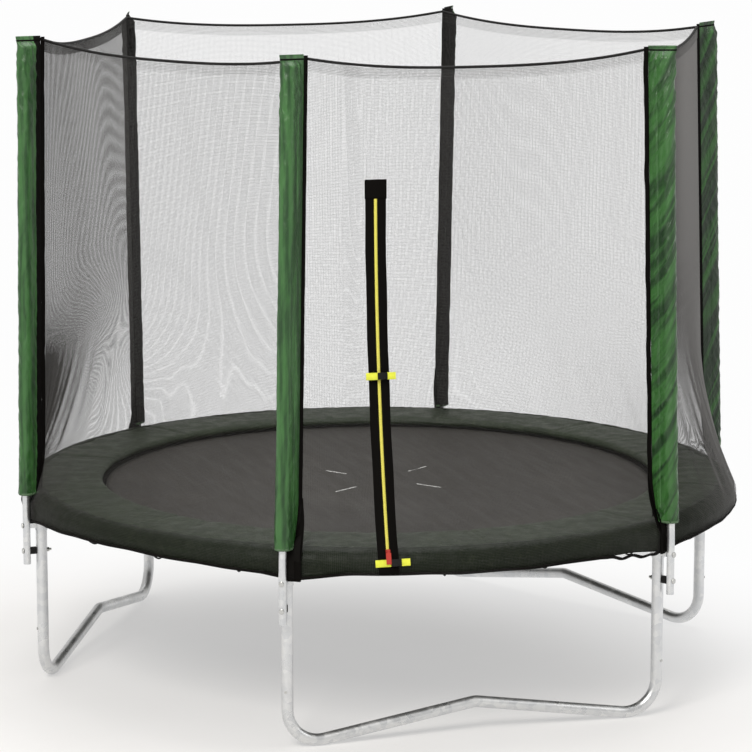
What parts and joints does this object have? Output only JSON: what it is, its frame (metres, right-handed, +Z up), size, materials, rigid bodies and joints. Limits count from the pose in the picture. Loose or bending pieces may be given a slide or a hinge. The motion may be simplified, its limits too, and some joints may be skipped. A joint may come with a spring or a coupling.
{
  "type": "backyard trampoline",
  "caption": "Round backyard trampoline on W-shaped legs, with a spring pad and an enclosure net on padded poles, entered by a zipped door with buckles.",
  "frame": {"origin": "on the ground under the middle of the mat", "axes": "+Z up, -Y towards the zipped entry panel, +X to the right as seen from the entry"},
  "size_m": [2.5448, 2.4667, 2.1828],
  "materials": {
    "galvanised_steel": "satin zinc",
    "bolt_steel": "satin",
    "spring_steel": "satin",
    "black_plastic": "matt",
    "foam": "matt foam",
    "green_sleeve_fabric": "glossy coated woven",
    "net_mesh": "knitted mesh",
    "black_webbing": "woven",
    "black_cord": "braided",
    "jump_mat": "matt woven",
    "pad_cover": "coated woven",
    "zip_yellow": "satin",
    "slider_red": "gloss",
    "yellow_webbing": "woven"
  },
  "bodies": {
    "frame": {"t_joints": "galvanised_steel", "top_rail_1": "galvanised_steel", "top_rail_2": "galvanised_steel", "top_rail_3": "galvanised_steel", "top_rail_4": "galvanised_steel", "top_rail_5": "galvanised_steel", "top_rail_6": "galvanised_steel", "leg_upright_1": "galvanised_steel", "leg_upright_2": "galvanised_steel", "leg_upright_3": "galvanised_steel", "leg_upright_4": "galvanised_steel", "leg_upright_5": "galvanised_steel", "leg_upright_6": "galvanised_steel", "leg_base_front": "galvanised_steel", "leg_base_right": "galvanised_steel", "leg_base_left": "galvanised_steel", "pole_lower_1": "galvanised_steel", "pole_lower_2": "galvanised_steel", "pole_lower_3": "galvanised_steel", "pole_lower_4": "galvanised_steel", "pole_lower_5": "galvanised_steel", "pole_lower_6": "galvanised_steel", "pole_upper_1": "galvanised_steel", "pole_upper_2": "galvanised_steel", "pole_upper_3": "galvanised_steel", "pole_upper_4": "galvanised_steel", "pole_upper_5": "galvanised_steel", "pole_upper_6": "galvanised_steel", "pole_foams": "foam", "pole_sleeves": "green_sleeve_fabric", "pole_spacers": "black_plastic", "pole_brackets": "galvanised_steel", "pole_bolts": "bolt_steel", "pole_nuts": "bolt_steel", "leg_screws": "bolt_steel", "net_panel_left_front": "net_mesh", "net_panel_front_left": "net_mesh", "net_panel_front_right": "net_mesh", "net_panel_right_front": "net_mesh", "net_panel_right_back": "net_mesh", "net_panel_back": "net_mesh", "net_panel_left_back": "net_mesh", "net_bindings": "black_webbing", "net_top_rope": "black_cord", "net_ties": "black_cord", "springs": "spring_steel", "frame_pad": "pad_cover", "zip_tapes": "black_webbing", "zip_coil": "zip_yellow", "buckle_sockets": "black_plastic", "webbing_tabs": "yellow_webbing"},
    "mat": {"mat": "jump_mat", "mat_border": "black_webbing", "v_rings": "spring_steel"},
    "slider": {"zip_slider": "slider_red"},
    "pull": {"zip_pull": "slider_red"},
    "upper_plug": {"buckle_plug_upper": "black_plastic", "plug_webbing_upper": "yellow_webbing"},
    "lower_plug": {"buckle_plug_lower": "black_plastic", "plug_webbing_lower": "yellow_webbing"}
  },
  "joints": [
    {"name": "mat_bounce", "type": "slide", "parent": "frame", "child": "mat", "axis": [0, 0, 1], "range_m": [-0.16, 0], "stiffness_N_per_m": 6000, "springref_m": 0.012, "deforming": ["springs"]},
    {"name": "zip_travel", "type": "hinge", "parent": "frame", "child": "slider", "pos_m": [-0.59489, -5.2092, 1.79], "axis": [0.9981, -0.0624, 0], "range_deg": [0, 14.64]},
    {"name": "pull_swing", "type": "hinge", "parent": "slider", "child": "pull", "pos_m": [-0.3434, -1.18545, 0.65328], "axis": [-0.9981, 0.0624, 0], "range_deg": [0, 100]},
    {"name": "upper_buckle_release", "type": "slide", "parent": "frame", "child": "upper_plug", "axis": [0.9981, -0.0624, 0], "range_m": [0, 0.045]},
    {"name": "lower_buckle_release", "type": "slide", "parent": "frame", "child": "lower_plug", "axis": [0.9797, -0.2007, 0], "range_m": [0, 0.045]}
  ]
}
